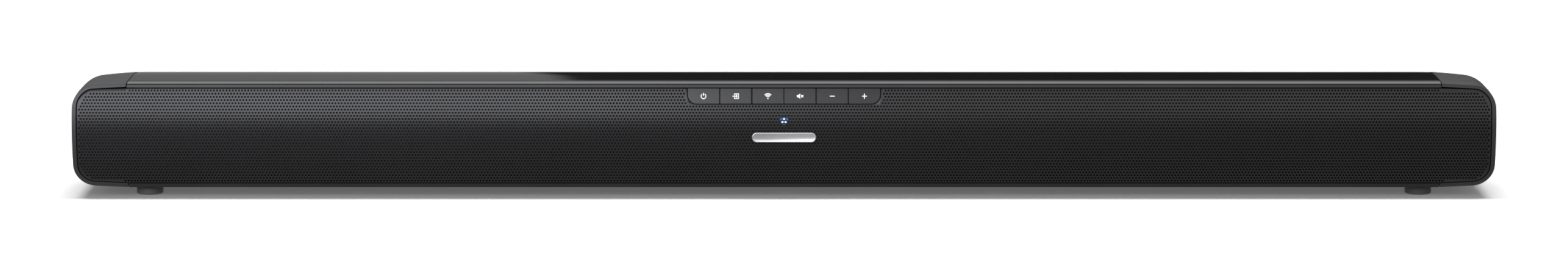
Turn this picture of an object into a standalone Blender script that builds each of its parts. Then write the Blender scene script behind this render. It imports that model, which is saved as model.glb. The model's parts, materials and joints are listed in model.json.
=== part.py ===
"""A slim two-speaker soundbar, built as the separate pieces it comes apart into.

Metres, +Z up, +X along the bar's length. The front grille faces -Y. The origin is at the
middle of the bar, on the surface that the four feet stand on.
"""
import math

import bmesh
import bpy
from mathutils import Matrix, Vector

MM = 0.001

# ---- the whole bar ---------------------------------------------------------------------
LENGTH = 800 * MM
DEPTH = 90 * MM
HEIGHT = 65 * MM
FOOT_SPACE = 5 * MM               # the housing's clearance above the table
WALL = 2.4 * MM                   # every housing wall, and so the frame round the grille
GAP = 0.3 * MM                    # between pieces that touch
HALF_LENGTH = LENGTH / 2
BACK_Y = DEPTH / 2
BADGE_FRONT_Y = -DEPTH / 2        # the badge is the foremost piece
ARC_FRONT_Y = BADGE_FRONT_Y + 0.6 * MM
FRONT_ARC_R = 55 * MM             # the front bulges on an arc, seen from the end
FRONT_ARC_Z = 37 * MM

# ---- housing shape ---------------------------------------------------------------------
SEAM_X = 369.7 * MM               # where each end cap meets the middle section
SEAM_GAP = 0.4 * MM
CAP_CORNER_R = 12.5 * MM          # corners of the bar, seen from the front
CAP_TAPER = 0.05                  # the caps' top and bottom close in by this slope
PLAN_CORNER = 39 * MM             # rear corners, seen from above
FRONT_FALL = 0.6 * MM             # the top eases down to its front edge by this much
FRONT_ROLL = 12 * MM              # over this width
CROWN_Y = -12 * MM                # then the top is level to here
REAR_FALL = 11 * MM               # and falls this far to the back wall
REAR_FALL_POWER = 2.2
REAR_BOTTOM_R = 4 * MM
SPLIT_Z = 53.4 * MM               # the top panel ends here on the back wall

# ---- grille, cloth, baffle -------------------------------------------------------------
GRILLE_MARGIN = 0.45 * MM         # the shadow gap round the grille
GRILLE_SETBACK = 0.2 * MM
GRILLE_THICKNESS = 1.0 * MM
CLOTH_MARGIN = 1.6 * MM
CLOTH_THICKNESS = 0.4 * MM
BAFFLE_FRONT_Y = -33 * MM
BAFFLE_THICKNESS = 3 * MM
BAFFLE_HALF_X = 366 * MM
BAFFLE_Z = (8.0 * MM, 61.8 * MM)
BAFFLE_NOTCH_HALF_X = 58.5 * MM
BAFFLE_NOTCH_Z = 38.5 * MM

# ---- buttons and their board -----------------------------------------------------------
KEY_NAMES = ("power", "source", "wireless", "mute", "volume_down", "volume_up")
KEY_PITCH = 18.08 * MM
KEY_GAP = 0.4 * MM
KEY_BOTTOM_Z = 53.6 * MM
KEY_TOP_Z = 61.8 * MM
KEY_CORNER_R = 4.9 * MM
KEY_REAR_Y = -37.0 * MM
KEY_CENTRE_Z = 57.7 * MM
STEM_R = 1.5 * MM
STEM_END_Y = -35.4 * MM
KEY_FRAME_Y = (-36.0 * MM, -35.0 * MM)
SWITCH_SIDE = 6 * MM
SWITCH_Y = (-34.2 * MM, -31.4 * MM)
PLUNGER_R = 1.6 * MM
PLUNGER_FRONT_Y = -34.5 * MM
BOARD_THICKNESS = 1.6 * MM
CONTROL_BOARD_FRONT_Y = -31.1 * MM
CONTROL_BOARD_HALF_X = 56 * MM
CONTROL_BOARD_Z = (40 * MM, 61 * MM)
LED_Z = 44.2 * MM
LED_R = 1.5 * MM
BADGE_SIZE = (36 * MM, 5.5 * MM)
BADGE_Z = 34.9 * MM
BADGE_THICKNESS = 0.5 * MM

# ---- loudspeaker drivers: radii, and depths behind the flange's front --------------------
DRIVER_X = 250 * MM
DRIVER_Z = 35 * MM
DRIVER_FRONT_Y = -34.9 * MM
FLANGE_R = 25 * MM
FLANGE_THICKNESS = 1.6 * MM
BASKET_NECK_R = 22.2 * MM
BASKET_REAR_R = 15.2 * MM
BASKET_REAR_D = 17 * MM
CONE_R = 16.8 * MM
COIL_R = 7.1 * MM
COIL_END_D = 20.5 * MM
MAGNET_R = (9.0 * MM, 15.5 * MM)
MAGNET_D = (17.3 * MM, 23.3 * MM)
POLE_R = 6.3 * MM
YOKE_REAR_D = 26.6 * MM

# ---- back of the bar -------------------------------------------------------------------
PORT_X = 320 * MM
PORT_Z = 33 * MM
PORT_R = (12 * MM, 14 * MM)
PORT_LENGTH = 50 * MM
BAY_FLOOR_Y = 29 * MM
BAY_Z = (14.5 * MM, 38 * MM)
CONNECTOR_BAY_X = (30 * MM, 130 * MM)
POWER_BAY_X = (-125 * MM, -75 * MM)
HANGER_X = 180 * MM
HANGER_HALF = 18 * MM
HANGER_Z = (21 * MM, 49 * MM)
HANGER_THICKNESS = 1.5 * MM
KEYHOLE_Z = 29 * MM
KEYHOLE_HEAD_R = 4.6 * MM
KEYHOLE_SLOT = (5.2 * MM, 40 * MM)   # width, and the height it reaches

# ---- boards on the housing's floor -------------------------------------------------------
BOARD_Z = 16.9 * MM
BOARD_Y = (-20 * MM, 28.4 * MM)
MAIN_BOARD_X = (22 * MM, 158 * MM)
POWER_BOARD_X = (-160 * MM, -50 * MM)
PARTS_Z = BOARD_Z + BOARD_THICKNESS + GAP
POST_R = 2.5 * MM
POST_INSET = 6 * MM
SOCKET_FRONT_Y = 17 * MM
SOCKET_REAR_Y = 32.2 * MM

# ---- feet --------------------------------------------------------------------------------
FOOT_X = 359 * MM
FOOT_Y = (-23.3 * MM, 25 * MM)
FOOT_R = 7.5 * MM
FOOT_EDGE = 0.7 * MM

# ---- smoothness --------------------------------------------------------------------------
ROUND = 20
INNER_ROUND = 16
ARC_STEPS = 8

# finish: colour, roughness, metallic
FINISHES = {
    "gloss_black": ((0.012, 0.012, 0.013), 0.08, 0.0),
    "matte_grey": ((0.045, 0.046, 0.048), 0.55, 0.0),
    "matte_black": ((0.020, 0.020, 0.021), 0.60, 0.0),
    "painted_steel": ((0.060, 0.061, 0.063), 0.38, 0.7),
    "plated_steel": ((0.62, 0.62, 0.60), 0.30, 1.0),
    "silver": ((0.75, 0.75, 0.74), 0.22, 1.0),
    "rubber": ((0.025, 0.025, 0.026), 0.80, 0.0),
    "cloth": ((0.010, 0.010, 0.010), 0.95, 0.0),
    "paper": ((0.030, 0.030, 0.032), 0.85, 0.0),
    "ferrite": ((0.055, 0.053, 0.052), 0.60, 0.2),
    "board_green": ((0.020, 0.110, 0.050), 0.45, 0.0),
    "aluminium": ((0.70, 0.71, 0.72), 0.35, 1.0),
    "copper_tape": ((0.55, 0.38, 0.12), 0.45, 0.2),
    "clear": ((0.80, 0.86, 0.95), 0.10, 0.0),
    "blue_lens": ((0.10, 0.25, 0.90), 0.15, 0.0),
}


# ---- tools ---------------------------------------------------------------------------------
def clear_scene():
    for item in list(bpy.data.objects):
        bpy.data.objects.remove(item, do_unlink=True)


def new_collection(name):
    collection = bpy.data.collections.new(name)
    bpy.context.scene.collection.children.link(collection)
    return collection


clear_scene()
PARTS = new_collection("soundbar")
CUTTERS = new_collection("cutters")


def material(name, finish):
    colour, roughness, metallic = FINISHES[finish]
    made = bpy.data.materials.new(name)
    made.use_nodes = True
    shader = made.node_tree.nodes["Principled BSDF"]
    shader.inputs["Base Color"].default_value = (*colour, 1)
    shader.inputs["Roughness"].default_value = roughness
    shader.inputs["Metallic"].default_value = metallic
    made.diffuse_color = (*colour, 1)
    return made


def add_part(name, bm, finish, place=(0, 0, 0)):
    """The sub-part's object, from a bmesh that it takes over."""
    bmesh.ops.recalc_face_normals(bm, faces=bm.faces[:])
    mesh = bpy.data.meshes.new(name)
    bm.to_mesh(mesh)
    bm.free()
    mesh.shade_smooth()
    mesh.set_sharp_from_angle(angle=math.radians(35))
    part = bpy.data.objects.new(name, mesh)
    part.location = place
    part.data.materials.append(material(name, finish))
    PARTS.objects.link(part)
    return part


def add_guide(name, bm):
    """A shape that only cuts or extends a part."""
    bmesh.ops.recalc_face_normals(bm, faces=bm.faces[:])
    mesh = bpy.data.meshes.new(name)
    bm.to_mesh(mesh)
    bm.free()
    guide = bpy.data.objects.new(name, mesh)
    guide.hide_render = True
    guide.display_type = "WIRE"
    CUTTERS.objects.link(guide)
    return guide


def combine(part, operation, bm):
    """Cut (DIFFERENCE) or extend (UNION) a part with the shapes in a bmesh."""
    guide = add_guide(f"{part.name}_{operation.lower()}_{len(part.modifiers)}", bm)
    guide.location = part.location
    boolean = part.modifiers.new(operation.lower(), "BOOLEAN")
    boolean.operation = operation
    boolean.object = guide
    boolean.solver = "EXACT"
    return part


def add_box(bm, low, high):
    low, high = Vector(low), Vector(high)
    size = Matrix.Diagonal((*(high - low), 1))
    bmesh.ops.create_cube(bm, size=1, matrix=Matrix.Translation((low + high) / 2) @ size)
    return bm


def add_cylinder(bm, start, end, radius, sides=ROUND, end_radius=None):
    start, end = Vector(start), Vector(end)
    along = end - start
    turn = along.to_track_quat("Z", "Y").to_matrix().to_4x4()
    bmesh.ops.create_cone(
        bm, cap_ends=True, segments=sides, radius1=radius, radius2=end_radius or radius,
        depth=along.length, matrix=Matrix.Translation((start + end) / 2) @ turn)
    return bm


def box_part(name, low, high, finish, bevel=0.0):
    part = add_part(name, add_box(bmesh.new(), low, high), finish)
    if bevel:
        rounded = part.modifiers.new("edges", "BEVEL")
        rounded.width = bevel
        rounded.segments = 1
    return part


def loft(bm, rings):
    """A closed solid through rings of equally many points."""
    rows = [[bm.verts.new(point) for point in ring] for ring in rings]
    count = len(rows[0])
    for here, there in zip(rows, rows[1:]):
        for i in range(count):
            j = (i + 1) % count
            bm.faces.new((here[i], here[j], there[j], there[i]))
    bm.faces.new(rows[0])
    bm.faces.new(rows[-1])
    return bm


def turned_part(name, outline, finish, place, steps=ROUND, closed=True, turn=(0, 0, 0)):
    """A part turned about its local Z from (radius, height) points.

    A closed outline is a ring; an open one starts and ends on the axis."""
    count = len(outline)
    area = sum(outline[i][0] * outline[(i + 1) % count][1]
               - outline[(i + 1) % count][0] * outline[i][1] for i in range(count))
    points = list(reversed(outline)) if area > 0 else list(outline)
    mesh = bpy.data.meshes.new(name)
    edges = [(i, i + 1) for i in range(count - 1)]
    if closed:
        edges.append((count - 1, 0))
    mesh.from_pydata([(radius, 0, height) for radius, height in points], edges, [])
    part = bpy.data.objects.new(name, mesh)
    part.location = place
    part.rotation_euler = turn
    mesh.materials.append(material(name, finish))
    PARTS.objects.link(part)
    screw = part.modifiers.new("turn", "SCREW")
    screw.steps = steps
    screw.render_steps = steps
    screw.use_merge_vertices = True
    screw.merge_threshold = 0.00001
    screw.use_smooth_shade = True
    return part


TURN_TO_BACK = (-math.pi / 2, 0, 0)     # local +Z points to the back, +Y


def spaced(start, end, steps):
    return [start + (end - start) * i / steps for i in range(steps + 1)]


# ---- the housing's outlines ------------------------------------------------------------------
def arc_y(z, depth=0.0):
    """Front surface at height z, this deep inside it."""
    radius = FRONT_ARC_R - depth
    return ARC_FRONT_Y + FRONT_ARC_R - math.sqrt(radius ** 2 - (z - FRONT_ARC_Z) ** 2)


def height_limits(x, inset=0.0):
    """The bar's bottom and top at x, drawn in by inset all round."""
    corner_x = HALF_LENGTH - CAP_CORNER_R
    taper = CAP_TAPER * max(0.0, min(abs(x), corner_x) - SEAM_X)
    radius = CAP_CORNER_R - inset
    across = min(max(0.0, abs(x) - corner_x), radius)
    fall = radius - math.sqrt(radius ** 2 - across ** 2)
    return FOOT_SPACE + inset + taper + fall, HEIGHT - inset - taper - fall


def rear_limit(x, inset=0.0):
    """The back of the bar at x, seen from above."""
    radius = PLAN_CORNER - inset
    across = min(max(0.0, abs(x) - (HALF_LENGTH - PLAN_CORNER)), radius)
    return BACK_Y - PLAN_CORNER + math.sqrt(radius ** 2 - across ** 2)


def front_roll(top):
    """Points from the outer front edge to where the top is level."""
    front_y = arc_y(top - FRONT_FALL)
    return [(front_y + FRONT_ROLL * part, top - FRONT_FALL * (1 - part) ** 2) for part in (0, 1 / 3, 2 / 3, 1)]


def over_the_top(x, inset, start_y=None):
    """Points from the front edge over the top to where the back wall is upright."""
    _, top = height_limits(x, inset)
    back = rear_limit(x, inset)
    if inset == 0:
        points = front_roll(top)
    else:
        points = [(arc_y(top) if start_y is None else start_y, top)]
    for i in range(ARC_STEPS + 1):
        angle = math.pi / 2 * i / ARC_STEPS
        y = CROWN_Y + (back - CROWN_Y) * math.sin(angle) ** (2 / REAR_FALL_POWER)
        points.append((y, top - REAR_FALL * (1 - math.cos(angle))))
    return points


def under_the_bottom(x, inset, end_y=None):
    """Points down round the lower rear edge and forward to the front edge."""
    bottom, _ = height_limits(x, inset)
    back = rear_limit(x, inset)
    radius = REAR_BOTTOM_R - inset
    points = []
    for i in range(4):
        angle = math.pi / 2 * i / 3
        points.append((back - radius * (1 - math.cos(angle)), bottom + radius * (1 - math.sin(angle))))
    points.append((arc_y(bottom) if end_y is None else end_y, bottom))
    return points


def front_face(x, inset):
    """Points up the bulged front, between the edges."""
    bottom, top = height_limits(x, inset)
    return [(arc_y(z), z) for z in spaced(bottom, top, ARC_STEPS)[1:-1]]


def at_x(x, points):
    return [(x, y, z) for y, z in points]


MIDDLE_END = SEAM_X - SEAM_GAP / 2
MIDDLE_STATIONS = (-MIDDLE_END, -365 * MM, -361 * MM, 361 * MM, 365 * MM, MIDDLE_END)


def make_top_panel():
    rings = []
    for x in MIDDLE_STATIONS:
        outside = over_the_top(x, 0) + [(rear_limit(x), SPLIT_Z)]
        inside = over_the_top(x, WALL)[:-1] + [(rear_limit(x, WALL), SPLIT_Z)]
        rings.append(at_x(x, outside + inside[::-1]))
    add_part("top_panel", loft(bmesh.new(), rings), "gloss_black")


def make_rear_cover():
    rings = []
    for x in MIDDLE_STATIONS:
        outside = [(rear_limit(x), SPLIT_Z - GAP)] + under_the_bottom(x, 0)
        inside = [(rear_limit(x, WALL), SPLIT_Z - GAP)] + under_the_bottom(x, WALL)
        rings.append(at_x(x, outside + inside[::-1]))
    cover = add_part("rear_cover", loft(bmesh.new(), rings), "matte_black")

    posts = bmesh.new()
    for low_x, high_x in (MAIN_BOARD_X, POWER_BOARD_X):
        for x in (low_x + POST_INSET, high_x - POST_INSET):
            for y in (BOARD_Y[0] + POST_INSET, BOARD_Y[1] - POST_INSET):
                floor_z = FOOT_SPACE + WALL
                add_cylinder(posts, (x, y, floor_z - WALL / 2), (x, y, BOARD_Z - GAP), POST_R, 8)
    combine(cover, "UNION", posts)

    inner_y = BACK_Y - WALL
    holes = bmesh.new()
    for low_x, high_x in (CONNECTOR_BAY_X, POWER_BAY_X):
        add_box(holes, (low_x - GAP, inner_y - WALL, BAY_Z[0] - GAP),
                (high_x + GAP, BACK_Y + WALL, BAY_Z[1] + GAP))
    for side in (-1, 1):
        x = side * PORT_X
        add_cylinder(holes, (x, inner_y - WALL, PORT_Z), (x, BACK_Y + WALL, PORT_Z), PORT_R[1] + GAP, ROUND)
        window = 7 * MM
        add_box(holes, (side * HANGER_X - window, inner_y - WALL, KEYHOLE_Z - window),
                (side * HANGER_X + window, BACK_Y + WALL, KEYHOLE_SLOT[1] + 4 * MM))
    combine(cover, "DIFFERENCE", holes)


def make_rear_panel(name, low_x, high_x):
    """A tray let into the back wall. Sockets look out through its floor."""
    panel = box_part(name, (low_x, BAY_FLOOR_Y, BAY_Z[0]), (high_x, BACK_Y, BAY_Z[1]), "matte_black")
    hollow = add_box(bmesh.new(), (low_x + WALL, BAY_FLOOR_Y + WALL, BAY_Z[0] + WALL),
                     (high_x - WALL, BACK_Y + WALL, BAY_Z[1] - WALL))
    combine(panel, "DIFFERENCE", hollow)
    sockets = bmesh.new()
    for low, high in SOCKET_BOXES.values():
        if low_x < low[0] and high[0] < high_x:
            add_box(sockets, (low[0] - GAP, BAY_FLOOR_Y - WALL, low[2] - GAP),
                    (high[0] + GAP, BAY_FLOOR_Y + 2 * WALL, high[2] + GAP))
    combine(panel, "DIFFERENCE", sockets)


def cap_stations(inset):
    """Where the cap's outline is drawn: close together where its corners turn."""
    corner_x = HALF_LENGTH - CAP_CORNER_R
    radius = CAP_CORNER_R - inset
    turns = [corner_x + radius * math.sin(math.radians(angle)) for angle in (15, 35, 53, 70, 90)]
    return [SEAM_X + 6 * MM, SEAM_X + 12 * MM, corner_x] + turns


def make_end_cap(name, side):
    start = SEAM_X + SEAM_GAP / 2
    outside = []
    for x in [start] + cap_stations(0):
        outline = over_the_top(x, 0) + under_the_bottom(x, 0) + front_face(x, 0)[:]
        outside.append(at_x(side * x, outline))
    cap = add_part(name, loft(bmesh.new(), outside), "matte_grey")

    open_front_y = BADGE_FRONT_Y - WALL
    inside = []
    for x in [start - WALL] + cap_stations(WALL):
        outline = over_the_top(x, WALL, open_front_y) + under_the_bottom(x, WALL, open_front_y)
        inside.append(at_x(side * x, outline))
    combine(cap, "DIFFERENCE", loft(bmesh.new(), inside))


# ---- grille, cloth, badge, baffle ------------------------------------------------------------
def key_bottom(x, grow=0.0):
    """Lower edge of the row of keys at x: its two outer corners are round."""
    half = 3 * KEY_PITCH - KEY_GAP / 2 + grow
    radius = KEY_CORNER_R + grow
    across = min(max(0.0, abs(x) - (half - radius)), radius)
    return KEY_BOTTOM_Z - grow + radius - math.sqrt(radius ** 2 - across ** 2)


def corner_stations(half, radius):
    return [half - radius + radius * math.sin(math.radians(angle)) for angle in (0, 25, 50, 72, 90)]


def key_opening(grow):
    """Cutter for the notch that the keys fill, open at the top."""
    half = 3 * KEY_PITCH - KEY_GAP / 2 + grow
    right = corner_stations(half, KEY_CORNER_R + grow)
    rings = []
    for x in [-x for x in reversed(right)] + right:
        bottom = key_bottom(x, grow)
        rings.append([(x, BADGE_FRONT_Y - WALL, bottom), (x, BADGE_FRONT_Y - WALL, HEIGHT),
                      (x, BAFFLE_FRONT_Y, HEIGHT), (x, BAFFLE_FRONT_Y, bottom)])
    return loft(bmesh.new(), rings)


def curved_sheet(name, inset, depth, thickness, finish):
    """A sheet that follows the bulged front, with the bar's rounded ends."""
    right = [SEAM_X] + cap_stations(inset)[2:]
    rings = []
    for x in [-x for x in reversed(right)] + right:
        bottom, top = height_limits(x, inset)
        heights = spaced(bottom, top, ARC_STEPS)
        outer = [(arc_y(z, depth), z) for z in heights]
        inner = [(arc_y(z, depth + thickness), z) for z in reversed(heights)]
        rings.append(at_x(x, outer + inner))
    return add_part(name, loft(bmesh.new(), rings), finish)


def make_front():
    grille = curved_sheet("front_grille", WALL + GRILLE_MARGIN, GRILLE_SETBACK,
                          GRILLE_THICKNESS, "painted_steel")
    combine(grille, "DIFFERENCE", key_opening(KEY_GAP))
    cloth_depth = GRILLE_SETBACK + GRILLE_THICKNESS + GAP
    cloth = curved_sheet("acoustic_cloth", WALL + CLOTH_MARGIN, cloth_depth, CLOTH_THICKNESS, "cloth")
    combine(cloth, "DIFFERENCE", key_opening(2 * KEY_GAP))

    half_x, half_z = BADGE_SIZE[0] / 2, BADGE_SIZE[1] / 2
    right = [half_x - half_z + half_z * math.sin(math.radians(a)) for a in (0, 25, 50, 72, 85)]
    rings = []
    for x in [-x for x in reversed(right)] + right:
        across = max(0.0, abs(x) - (half_x - half_z))
        half = math.sqrt(half_z ** 2 - across ** 2)
        rear_y = BADGE_FRONT_Y + BADGE_THICKNESS
        rings.append([(x, BADGE_FRONT_Y, BADGE_Z - half), (x, BADGE_FRONT_Y, BADGE_Z + half),
                      (x, rear_y, BADGE_Z + half), (x, rear_y, BADGE_Z - half)])
    add_part("badge_plate", loft(bmesh.new(), rings), "silver")

    rear_y = BAFFLE_FRONT_Y + BAFFLE_THICKNESS
    baffle = box_part("front_baffle", (-BAFFLE_HALF_X, BAFFLE_FRONT_Y, BAFFLE_Z[0]),
                      (BAFFLE_HALF_X, rear_y, BAFFLE_Z[1]), "matte_black")
    holes = bmesh.new()
    add_box(holes, (-BAFFLE_NOTCH_HALF_X, BAFFLE_FRONT_Y - WALL, BAFFLE_NOTCH_Z),
            (BAFFLE_NOTCH_HALF_X, rear_y + WALL, HEIGHT))
    for x in (-DRIVER_X, DRIVER_X):
        add_cylinder(holes, (x, BAFFLE_FRONT_Y - WALL, DRIVER_Z), (x, rear_y + WALL, DRIVER_Z),
                     BASKET_NECK_R + 2 * GAP)
    combine(baffle, "DIFFERENCE", holes)


# ---- buttons -----------------------------------------------------------------------------------
def key_centre(index):
    return (index - 2.5) * KEY_PITCH


def make_key(index):
    """A key cap on the bulged front with its stem. Its origin lies on its own sliding axis."""
    centre = key_centre(index)
    half = (KEY_PITCH - KEY_GAP) / 2
    stations = [centre - half, centre + half]
    outer_end = 3 * KEY_PITCH - KEY_GAP / 2
    if index in (0, 5):
        side = -1 if index == 0 else 1
        stations = [centre - side * half] + [side * x for x in corner_stations(outer_end, KEY_CORNER_R)]
    rings = []
    for x in stations:
        heights = spaced(key_bottom(x), KEY_TOP_Z, 3)
        outline = [(arc_y(z, GRILLE_SETBACK), z) for z in heights]
        outline += [(KEY_REAR_Y, KEY_TOP_Z), (KEY_REAR_Y, heights[0])]
        rings.append([(x - centre, y, z - KEY_CENTRE_Z) for y, z in outline])
    key = add_part(f"{KEY_NAMES[index]}_button", loft(bmesh.new(), rings), "gloss_black",
                   (centre, 0, KEY_CENTRE_Z))
    stem = add_cylinder(bmesh.new(), (0, KEY_REAR_Y - GAP, 0), (0, STEM_END_Y, 0), STEM_R, 12)
    combine(key, "UNION", stem)


def make_switch(index):
    """A tactile switch behind its key."""
    x = key_centre(index)
    half = SWITCH_SIDE / 2
    body = add_box(bmesh.new(), (x - half, SWITCH_Y[0], KEY_CENTRE_Z - half),
                   (x + half, SWITCH_Y[1], KEY_CENTRE_Z + half))
    switch = add_part(f"{KEY_NAMES[index]}_switch", body, "plated_steel")
    plunger = add_cylinder(bmesh.new(), (x, PLUNGER_FRONT_Y, KEY_CENTRE_Z),
                           (x, SWITCH_Y[0] + GAP, KEY_CENTRE_Z), PLUNGER_R, 12)
    combine(switch, "UNION", plunger)


def make_controls():
    for index in range(len(KEY_NAMES)):
        make_key(index)
        make_switch(index)

    half_x = 3 * KEY_PITCH + 2 * MM
    frame = box_part("button_frame", (-half_x, KEY_FRAME_Y[0], KEY_BOTTOM_Z - 1 * MM),
                     (half_x, KEY_FRAME_Y[1], KEY_TOP_Z - 0.5 * MM), "matte_black")
    holes = bmesh.new()
    for index in range(len(KEY_NAMES)):
        x = key_centre(index)
        add_cylinder(holes, (x, KEY_FRAME_Y[0] - 1 * MM, KEY_CENTRE_Z),
                     (x, KEY_FRAME_Y[1] + 1 * MM, KEY_CENTRE_Z), STEM_R + 0.6 * MM, 12)
    combine(frame, "DIFFERENCE", holes)

    board_rear_y = CONTROL_BOARD_FRONT_Y + BOARD_THICKNESS
    box_part("control_board", (-CONTROL_BOARD_HALF_X, CONTROL_BOARD_FRONT_Y, CONTROL_BOARD_Z[0]),
             (CONTROL_BOARD_HALF_X, board_rear_y, CONTROL_BOARD_Z[1]), "board_green")

    led_base_y = CONTROL_BOARD_FRONT_Y - GAP
    led_length = 4.6 * MM
    dome = [(LED_R * math.cos(math.radians(a)), -led_length + LED_R * (1 - math.sin(math.radians(a))))
            for a in (90, 60, 30, 0)]
    dome[0] = (0.0, -led_length)
    collar = [(LED_R, -1 * MM), (LED_R + 0.4 * MM, -1 * MM), (LED_R + 0.4 * MM, 0), (0, 0)]
    turned_part("status_led", dome + collar, "blue_lens", (0, led_base_y, LED_Z), 12, False, TURN_TO_BACK)

    guide_rear_y = led_base_y - led_length - GAP
    guide_front_y = arc_y(LED_Z, GRILLE_SETBACK + GRILLE_THICKNESS + CLOTH_THICKNESS + 3 * GAP)
    guide = add_cylinder(bmesh.new(), (0, guide_front_y, LED_Z), (0, guide_rear_y, LED_Z), LED_R, 12)
    add_part("light_guide", guide, "clear")

    receiver_x = 18 * MM
    box_part("remote_receiver", (receiver_x - 3 * MM, led_base_y - 5 * MM, 41 * MM),
             (receiver_x + 3 * MM, led_base_y, 48 * MM), "matte_black", 0.8 * MM)


# ---- drivers -----------------------------------------------------------------------------------
def make_driver(side_name, x):
    """One full-range driver; every piece is turned about the driver's axis."""
    place = (x, DRIVER_FRONT_Y, DRIVER_Z)

    def turned(piece, outline, finish, closed=True):
        return turned_part(f"{side_name}_driver_{piece}", outline, finish, place, INNER_ROUND,
                           closed, TURN_TO_BACK)

    rim_r = FLANGE_R - 3.8 * MM
    basket = [
        (FLANGE_R, 0), (FLANGE_R, FLANGE_THICKNESS), (BASKET_NECK_R, FLANGE_THICKNESS),
        (BASKET_NECK_R - 0.4 * MM, 5 * MM), (BASKET_REAR_R, BASKET_REAR_D - 2 * MM),
        (BASKET_REAR_R, BASKET_REAR_D), (COIL_R + 1.1 * MM, BASKET_REAR_D),
        (COIL_R + 1.1 * MM, BASKET_REAR_D - 1 * MM), (BASKET_REAR_R - 1 * MM, BASKET_REAR_D - 1 * MM),
        (BASKET_REAR_R - 1 * MM, BASKET_REAR_D - 2 * MM), (rim_r - 0.4 * MM, 5 * MM), (rim_r, 0)]
    turned("basket", basket, "plated_steel")

    turned("magnet", [(MAGNET_R[0], MAGNET_D[0]), (MAGNET_R[1], MAGNET_D[0]),
                      (MAGNET_R[1], MAGNET_D[1]), (MAGNET_R[0], MAGNET_D[1])], "ferrite")

    plate_d = MAGNET_D[1] + GAP
    plate_r = MAGNET_R[1] - 0.5 * MM
    yoke = [(0, 15.8 * MM), (POLE_R, 15.8 * MM), (POLE_R, plate_d), (plate_r, plate_d),
            (plate_r, YOKE_REAR_D), (0, YOKE_REAR_D)]
    turned("yoke", yoke, "plated_steel", False)

    neck_d = 10.4 * MM
    skin = 0.6 * MM
    inside_r = COIL_R - GAP
    dome = [(inside_r * math.sin(a), neck_d - 0.6 * MM - 3.3 * MM * math.cos(a)) for a in (0.0, 0.5, 1.0)]
    dome_back = [(r, d + skin) for r, d in reversed(dome)]
    cone = dome + [(COIL_R, neck_d - 1.0 * MM), (CONE_R, 1.0 * MM), (CONE_R, 1.0 * MM + skin),
                   (COIL_R + GAP, neck_d), (COIL_R, neck_d + skin), (COIL_R, COIL_END_D),
                   (inside_r, COIL_END_D), (inside_r, neck_d)] + dome_back
    turned("cone", cone, "paper", False)

    roll_r = (rim_r - GAP - CONE_R - GAP) / 2
    middle_r = CONE_R + GAP + roll_r
    thickness = 0.5 * MM
    angles = [math.pi * i / 5 for i in range(6)]
    outer = [(middle_r + roll_r * math.cos(a), 1.0 * MM - roll_r * math.sin(a)) for a in angles]
    inner = [(middle_r + (roll_r - thickness) * math.cos(a), 1.0 * MM - (roll_r - thickness) * math.sin(a))
             for a in reversed(angles)]
    turned("surround", outer + inner, "rubber")

    spider_r = spaced(COIL_R + 0.4 * MM, BASKET_REAR_R - 0.4 * MM, 6)
    wave = [(r, 13.5 * MM + (0.4 * MM if i % 2 else -0.4 * MM)) for i, r in enumerate(spider_r)]
    turned("spider", wave + [(r, d + 0.4 * MM) for r, d in reversed(wave)], "copper_tape")


# ---- back of the bar -----------------------------------------------------------------------------
SOCKET_BOXES = {
    "usb_socket": ((40 * MM, SOCKET_FRONT_Y, PARTS_Z), (54.5 * MM, SOCKET_REAR_Y, PARTS_Z + 7 * MM)),
    "hdmi_socket": ((62 * MM, SOCKET_FRONT_Y, PARTS_Z), (77 * MM, SOCKET_REAR_Y, PARTS_Z + 5.8 * MM)),
    "optical_socket": ((86 * MM, SOCKET_FRONT_Y, PARTS_Z), (95.7 * MM, SOCKET_REAR_Y, PARTS_Z + 10 * MM)),
    "aux_socket": ((105 * MM, SOCKET_FRONT_Y, PARTS_Z), (113 * MM, SOCKET_REAR_Y, PARTS_Z + 8 * MM)),
    "power_inlet": ((-111 * MM, 10 * MM, PARTS_Z), (-89 * MM, SOCKET_REAR_Y, PARTS_Z + 12 * MM)),
}


def socket_centre(name):
    low, high = SOCKET_BOXES[name]
    return (low[0] + high[0]) / 2, (low[2] + high[2]) / 2


def make_flat_socket(name, wall, depth, tongue_size, tongue_up):
    """A shell open at the back with a contact tongue standing in it."""
    low, high = SOCKET_BOXES[name]
    x, z = socket_centre(name)
    socket = box_part(name, low, high, "plated_steel")
    rear_y = SOCKET_REAR_Y
    cavity = add_box(bmesh.new(), (low[0] + wall, rear_y - depth, low[2] + wall),
                     (high[0] - wall, rear_y + wall, high[2] - wall))
    combine(socket, "DIFFERENCE", cavity)
    half_x, half_z = tongue_size[0] / 2, tongue_size[1] / 2
    tongue = add_box(bmesh.new(), (x - half_x, rear_y - depth - wall / 2, z + tongue_up - half_z),
                     (x + half_x, rear_y - 1 * MM, z + tongue_up + half_z))
    combine(socket, "UNION", tongue)


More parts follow.
